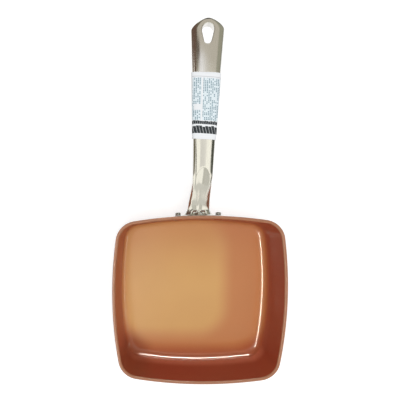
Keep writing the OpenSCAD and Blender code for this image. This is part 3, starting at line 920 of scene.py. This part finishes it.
def steel_material(name, handling, brushing, base, roughness, along, fineness, relief):
    """Steel with fine polishing lines and a few smudges."""
    material, n, shader = new_material(name)
    place = n.place()
    lines = n.group(brushing, Place=place, Along=along, Fineness=fineness)
    marks = n.group(handling, Place=place, Roughness=roughness, Smudge=0.05, Smudge_Scale=30.0)
    darker = rgb(*(0.92 * c for c in base[:3]))
    n.join(n.mix(lines.outputs["Mask"], base, darker), shader.inputs["Base Color"])
    rougher = n.math("MULTIPLY_ADD", lines.outputs["Mask"], 0.04, marks.outputs["Roughness"])
    n.join(rougher, shader.inputs["Roughness"])
    n.join(n.bump(lines.outputs["Height"], 0.25, relief), shader.inputs["Normal"])
    set_sockets(shader, Metallic=1.0)
    return material


PLATE_PALE, PLATE_DARK = rgb(0.60, 0.60, 0.60), rgb(0.46, 0.46, 0.46)


def plate_material(handling):
    """Turned steel: rings round the middle of the disc."""
    material, n, shader = new_material("turned_plate_steel")
    place = n.place()
    x, y, _ = n.split(place)
    ring_place = n.add("ShaderNodeCombineXYZ")
    n.join(n.reach(x, y), ring_place.inputs[0])
    rings = n.noise(ring_place.outputs[0], 2200.0, 3.0, 0.7)
    n.join(n.mix(n.ramp(rings, 0.3, 0.7), PLATE_PALE, PLATE_DARK), shader.inputs["Base Color"])
    marks = n.group(handling, Place=place, Roughness=0.30, Smudge=0.08, Smudge_Scale=25.0)
    n.join(marks.outputs["Roughness"], shader.inputs["Roughness"])
    n.join(n.bump(rings, 0.35, 0.04 * MM), shader.inputs["Normal"])
    set_sockets(shader, Metallic=1.0)
    return material


# The print, in millimetres from the sleeve's edge nearest the vessel and from the handle's middle
COLUMN_PITCH, DASH_PITCH, DASH_GAP_SHARE = 2.1, 1.7, 0.34
PRINT_ALONG, PRINT_ACROSS = (20.0, 65.2), (-15.6, 15.8)
BLANK_ALONG, BLANK_ACROSS, COLUMN_BLANK = (31.0, 37.5), (-14.0, -5.4), (-5.8, -3.8)
BORDER_ALONG, BORDER_ACROSS = (66.3, 66.9), (-16.4, 16.4)
# Each bold row: where it starts and ends, the pitch of its blocks and the seed of their heights
BOLD_ROWS = ((15.8, 19.8, 2.2, 11.0), (5.6, 14.6, 3.6, 23.0))
BLOCK_SLANT, BLOCK_SPREAD = 0.28, 0.22
CARD_WHITE, PRINT_TINT = rgb(0.92, 0.94, 0.96), rgb(0.70, 0.86, 0.92)
DASH_INK, BORDER_INK, BOLD_INK = rgb(0.09, 0.22, 0.28), rgb(0.35, 0.38, 0.40), rgb(0.006, 0.012, 0.016)


def cell_noise(n, u, v, seed):
    """One random value for each cell of a grid."""
    cell = n.add("ShaderNodeCombineXYZ")
    n.join(n.math("FLOOR", u), cell.inputs[0])
    n.join(n.math("FLOOR", v), cell.inputs[1])
    cell.inputs[2].default_value = seed
    white = n.add("ShaderNodeTexWhiteNoise", noise_dimensions="3D")
    n.join(cell.outputs[0], white.inputs["Vector"])
    return white.outputs["Value"]


def card_material(handling):
    """White card with pale rows of dashes, two bold rows of blocks and a thin border line; no letters."""
    material, n, shader = new_material("printed_card")
    place = n.place()
    across, along, _ = n.millimetres(place)
    skew = SLEEVE_SKEW / WAIST_W * 0.9
    along = n.math("MULTIPLY_ADD", across, skew, n.math("SUBTRACT", along, MOUTH_Y + SLEEVE_RUN))
    # Small print runs along the handle in columns, with breaks between its dashes
    column = n.math("DIVIDE", across, COLUMN_PITCH)
    step = n.math("DIVIDE", along, DASH_PITCH)
    drawn = n.math("GREATER_THAN", cell_noise(n, column, step, 3.0), DASH_GAP_SHARE)
    dash = n.product(drawn, n.band(n.math("FRACT", step), 0.10, 0.80, 0.10),
                     n.band(n.math("FRACT", column), 0.18, 0.72, 0.12))
    print_area = n.product(n.band(along, *PRINT_ALONG, 0.3), n.band(across, *PRINT_ACROSS, 0.3))
    blank = n.product(n.band(across, *BLANK_ACROSS, 0.3), n.band(along, *BLANK_ALONG, 0.4))
    blank = n.math("MAXIMUM", blank, n.band(across, *COLUMN_BLANK, 0.3))
    print_area = n.product(print_area, n.math("SUBTRACT", 1.0, blank))
    # Two bold rows of plain slanted blocks
    bold = 0.0
    for low, high, pitch, seed in BOLD_ROWS:
        unit = n.math("DIVIDE", n.math("MULTIPLY_ADD", along, BLOCK_SLANT, across), pitch)
        spread = (high - low) * BLOCK_SPREAD
        top = n.math("MULTIPLY_ADD", cell_noise(n, unit, 0.5, seed), spread, high - spread)
        row = n.product(n.math("GREATER_THAN", along, low), n.math("LESS_THAN", along, top),
                        n.band(n.math("FRACT", unit), 0.02, 0.94, 0.02))
        bold = n.math("MAXIMUM", bold, row)
    border = n.product(n.band(along, *BORDER_ALONG, 0.12), n.band(across, *BORDER_ACROSS, 0.2))
    colour = n.mix(n.product(print_area, 0.5), CARD_WHITE, PRINT_TINT)
    colour = n.mix(n.product(dash, print_area, 0.95), colour, DASH_INK)
    colour = n.mix(n.product(border, 0.6), colour, BORDER_INK)
    colour = n.mix(n.product(bold, 0.97), colour, BOLD_INK)
    n.join(colour, shader.inputs["Base Color"])
    marks = n.group(handling, Place=place, Roughness=0.42, Smudge=0.08, Smudge_Scale=60.0)
    n.join(marks.outputs["Roughness"], shader.inputs["Roughness"])
    fibres = n.noise(place, 1500.0, 2.0, 0.6)
    n.join(n.bump(fibres, 0.1, 0.03 * MM), shader.inputs["Normal"])
    set_sockets(shader, Specular_IOR_Level=0.25)
    return material


# Studio

FLOOR_SIZE, FLOOR_DROP, FLOOR_SHOWN = 6000.0, 0.2, 0.62
PAPER_PALE, PAPER_PALER = rgb(0.60, 0.60, 0.60), rgb(0.62, 0.62, 0.62)
# Brightness of the even light that comes from all round
AMBIENT = 0.50


def floor_material():
    material, n, shader = new_material("studio_floor")
    place = n.place()
    paper = n.noise(place, 300.0, 2.0, 0.5)
    n.join(n.mix(n.ramp(paper, 0.4, 0.6, 0.0, 0.3), PAPER_PALE, PAPER_PALER), shader.inputs["Base Color"])
    path = n.add("ShaderNodeLightPath")
    shown = n.math("MAXIMUM", path.outputs["Is Camera Ray"], path.outputs["Is Transmission Ray"])
    shown = n.math("MAXIMUM", shown, path.outputs["Is Glossy Ray"])
    n.join(n.math("MULTIPLY", shown, FLOOR_SHOWN), shader.inputs["Emission Strength"])
    set_sockets(shader, Roughness=0.9, Specular_IOR_Level=0.0, Emission_Color=rgb(1.0, 1.0, 1.0))
    return material


def make_floor():
    floor = make_piece("studio_floor", *flat_grid(FLOOR_SIZE, FLOOR_SIZE, 24), floor_material())
    floor.location.z = -FLOOR_DROP * MM


# The room that the mirrors show
LEFT_SIDE, RIGHT_SIDE, CURTAIN = rgb(0.17, 0.15, 0.10), rgb(0.07, 0.075, 0.055), rgb(0.15, 0.095, 0.07)
# Panels of the studio's roof, as slopes: middle and half size, in distance sideways over distance up
ROOF_PANELS = (
    ((0.40, 0.72), (0.52, 0.60), rgb(0.57, 0.53, 0.45)),
    ((1.25, 0.72), (0.75, 0.60), rgb(0.37, 0.36, 0.28)),
    ((0.04, -0.18), (0.66, 0.31), rgb(1.16, 1.14, 1.02)),
    ((0.125, -0.09), (0.085, 0.19), rgb(0.80, 0.78, 0.72)),
    ((0.045, 0.17), (0.11, 0.045), rgb(1.00, 1.00, 1.02)),
)
# The same for a fold of the brown curtain behind the left of the handle, and for the gap beside it
CURTAIN_PANELS = (
    ((-0.10, 0.222), (0.10, 0.045), rgb(0.12, 0.09, 0.07)),
    ((-1.40, 0.10), (0.76, 0.12), rgb(1.05, 1.02, 0.92)),
)
# Screens in front of the pan: middle and half size, in sine of the turn sideways and sine of the rise
FRONT_SCREENS = (
    ((-0.01, 0.36), (0.95, 0.50), rgb(1.14, 1.12, 1.01)),
    ((-0.285, 0.53), (0.155, 0.36), rgb(0.64, 0.63, 0.56)),
    ((0.04, 0.64), (0.19, 0.24), rgb(0.61, 0.60, 0.53)),
    ((-0.02, 0.28), (0.42, 0.125), rgb(0.72, 0.71, 0.64)),
    ((0.38, 0.235), (0.27, 0.165), rgb(0.72, 0.71, 0.64)),
    ((0.86, 0.05), (0.14, 0.28), rgb(0.12, 0.115, 0.08)),
    ((-0.72, -0.05), (0.24, 0.10), rgb(0.14, 0.125, 0.09)),
)


def make_world():
    """White for the camera, an even light, and in mirrors a room with dark sides and pale panels."""
    world = bpy.data.worlds.new("studio")
    bpy.context.scene.world = world
    world.use_nodes = True
    n = Nodes(world.node_tree)
    background = world.node_tree.nodes["Background"]
    x, y, z = n.split(n.add("ShaderNodeTexCoord").outputs["Generated"])
    up = n.math("MAXIMUM", z, 0.05)
    level = n.math("MAXIMUM", n.reach(x, y), 0.001)
    facing = n.math("DIVIDE", y, level)
    aside = n.math("DIVIDE", x, level)

    def with_panels(room, panels):
        for middle, half, colour in panels:
            panel = soft_panel(n, n.math("DIVIDE", x, up), n.math("DIVIDE", y, up), middle, half, 0.03, 0.02)
            room = n.mix(panel, room, colour)
        return room

    behind = n.ramp(facing, -0.10, 0.10)
    room = with_panels(n.mix(n.ramp(x, -0.1, 0.1), LEFT_SIDE, RIGHT_SIDE), ROOF_PANELS)
    horizon = n.product(n.ramp(z, 0.24, 0.27, 1.0, 0.0), behind, n.ramp(aside, -0.40, -0.25))
    room = n.mix(horizon, room, rgb(1.0, 1.0, 1.0))
    curtain = n.product(n.ramp(aside, -0.30, -0.40), behind, n.ramp(z, 0.94, 0.96, 1.0, 0.0))
    room = with_panels(n.mix(curtain, room, CURTAIN), CURTAIN_PANELS)
    front = n.ramp(facing, -0.20, -0.35)
    for middle, half, colour in FRONT_SCREENS:
        screen = soft_panel(n, aside, z, middle, half, 0.05, 0.06)
        room = n.mix(n.product(screen, front), room, colour)
    path = n.add("ShaderNodeLightPath")
    glossy = path.outputs["Is Glossy Ray"]
    seen = n.math("MAXIMUM", path.outputs["Is Camera Ray"], path.outputs["Is Transmission Ray"])
    seen = n.math("MAXIMUM", seen, glossy)
    n.join(n.mix(glossy, rgb(1.0, 1.0, 1.0), room), background.inputs["Color"])
    n.join(n.ramp(seen, 0.0, 1.0, AMBIENT, 1.0, soft=False), background.inputs["Strength"])


def soft_box(name, place, aim, width, height, radiance):
    """A lamp of even brightness that mirrors don't show."""
    lamp = bpy.data.lights.new(name, "AREA")
    lamp.shape, lamp.size, lamp.size_y = "RECTANGLE", width * MM, height * MM
    lamp.energy = radiance * math.pi * width * height * MM * MM
    box = bpy.data.objects.new(name, lamp)
    box.location = Vector(place) * MM
    box.rotation_euler = (Vector(aim) - Vector(place)).to_track_quat("-Z", "Y").to_euler()
    box.visible_glossy = False
    bpy.context.scene.collection.objects.link(box)


# The lamp over the pan: its place, the point that it faces, its width and height, and its radiance
OVERHEAD_BOX = (20, 20, 1100), (20, 20, 0), 760, 820, 3.0
STRIP_COLOUR = rgb(1.0, 0.95, 0.82)
# Soft-edged cards that draw the lines on the inner bend. The left strip shows on the right bend, the far
# one on the bend in front and the right one on the left bend. Each has a place, a point that it faces, a
# width and length, a strength, and its corner radius and softness.
STRIPS = (
    ("left strip", (-600, -480, 1400), (-600, -480, 0), 400, 1200, 76.0, 100, 90),
    ("far strip", (58, 824, 285), (0, -105, 10), 400, 440, 140.0, 100, 100),
    ("right strip", (700, -210, 275), (-110, -10, 7), 440, 150, 19.0, 50, 40),
)


def studio_card(name, place, aim, width, length, strength, corner, soft, seen_in):
    """A soft-edged warm card that only shows in the gloss of the pieces given."""
    material, n, shader = new_material(name)
    across, along, _ = n.millimetres(n.place())
    n.join(soft_panel(n, across, along, (0, 0), (width / 2 - soft, length / 2 - soft), corner, soft),
           shader.inputs["Alpha"])
    set_sockets(shader, Emission_Color=STRIP_COLOUR, Emission_Strength=strength,
                Base_Color=rgb(0, 0, 0), Roughness=1.0, Specular_IOR_Level=0.0)
    card = make_piece(name, *flat_grid(width, length, 8), material)
    card.location = Vector(place) * MM
    card.rotation_euler = (Vector(aim) - Vector(place)).to_track_quat("-Z", "Y").to_euler()
    card.visible_camera = card.visible_diffuse = card.visible_shadow = card.visible_transmission = False
    card.light_linking.receiver_collection = seen_in


def make_studio(vessel):
    make_floor()
    make_world()
    soft_box("overhead box", *OVERHEAD_BOX)
    gloss = bpy.data.collections.new("gloss of the coat")
    gloss.objects.link(vessel)
    for strip in STRIPS:
        studio_card(*strip, gloss)


# The picture, seen from near above the floor of the pan; turns in degrees
CAMERA_PLACE, LENS, SENSOR_W, SHIFT = (-65, 142, 457), 26.55, 36.0, (0.1525, 0.085)
CAMERA_TURNS = (2.4, "Y"), (-6.5, "X"), (-0.8, "Z")


def make_camera():
    camera = bpy.data.cameras.new("picture")
    camera.sensor_width, camera.lens = SENSOR_W, LENS
    camera.shift_x, camera.shift_y = SHIFT
    camera.clip_start, camera.clip_end = 0.02, 20.0
    viewer = bpy.data.objects.new("picture", camera)
    turn = Matrix.Identity(4)
    for degrees, axis in CAMERA_TURNS:
        turn = turn @ Matrix.Rotation(math.radians(degrees), 4, axis)
    viewer.matrix_world = Matrix.Translation(Vector(CAMERA_PLACE) * MM) @ turn
    bpy.context.scene.collection.objects.link(viewer)
    bpy.context.scene.camera = viewer


# The whole object

def dress(piece, slot, *nodes):
    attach(piece, "root")
    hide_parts(*nodes)


def make_pan():
    handling, brushing = make_handling_group(), make_brushing_group()
    coat = coat_material(handling)
    handle_steel, bracket_steel, rivet_steel = (
        steel_material(name, handling, brushing, *finish) for name, *finish in STEELS)
    vessel = make_vessel(coat)
    dress(vessel, "copper_ceramic", "pan_body")
    dress(make_plate(plate_material(handling)), "plate_steel", "base_plate")
    dress(make_bracket(bracket_steel), "polished_steel", "handle_bracket")
    dress(make_half_shell("handle_top", 1, handle_steel), "polished_steel", "handle_upper_shell")
    dress(make_half_shell("handle_belly", -1, handle_steel), "polished_steel", "handle_lower_shell")
    dress(make_liner(bracket_steel), "polished_steel", "hang_hole_liner")
    heads, caps = make_rivets(rivet_steel, coat)
    dress(heads, "rivet_steel", "rivets")
    dress(caps, "copper_ceramic", "rivets")
    dress(make_sleeve(card_material(handling)), "label_card", "label_sleeve")
    return vessel


bpy.context.scene.view_settings.view_transform = "Standard"
make_camera()
make_studio(make_pan())
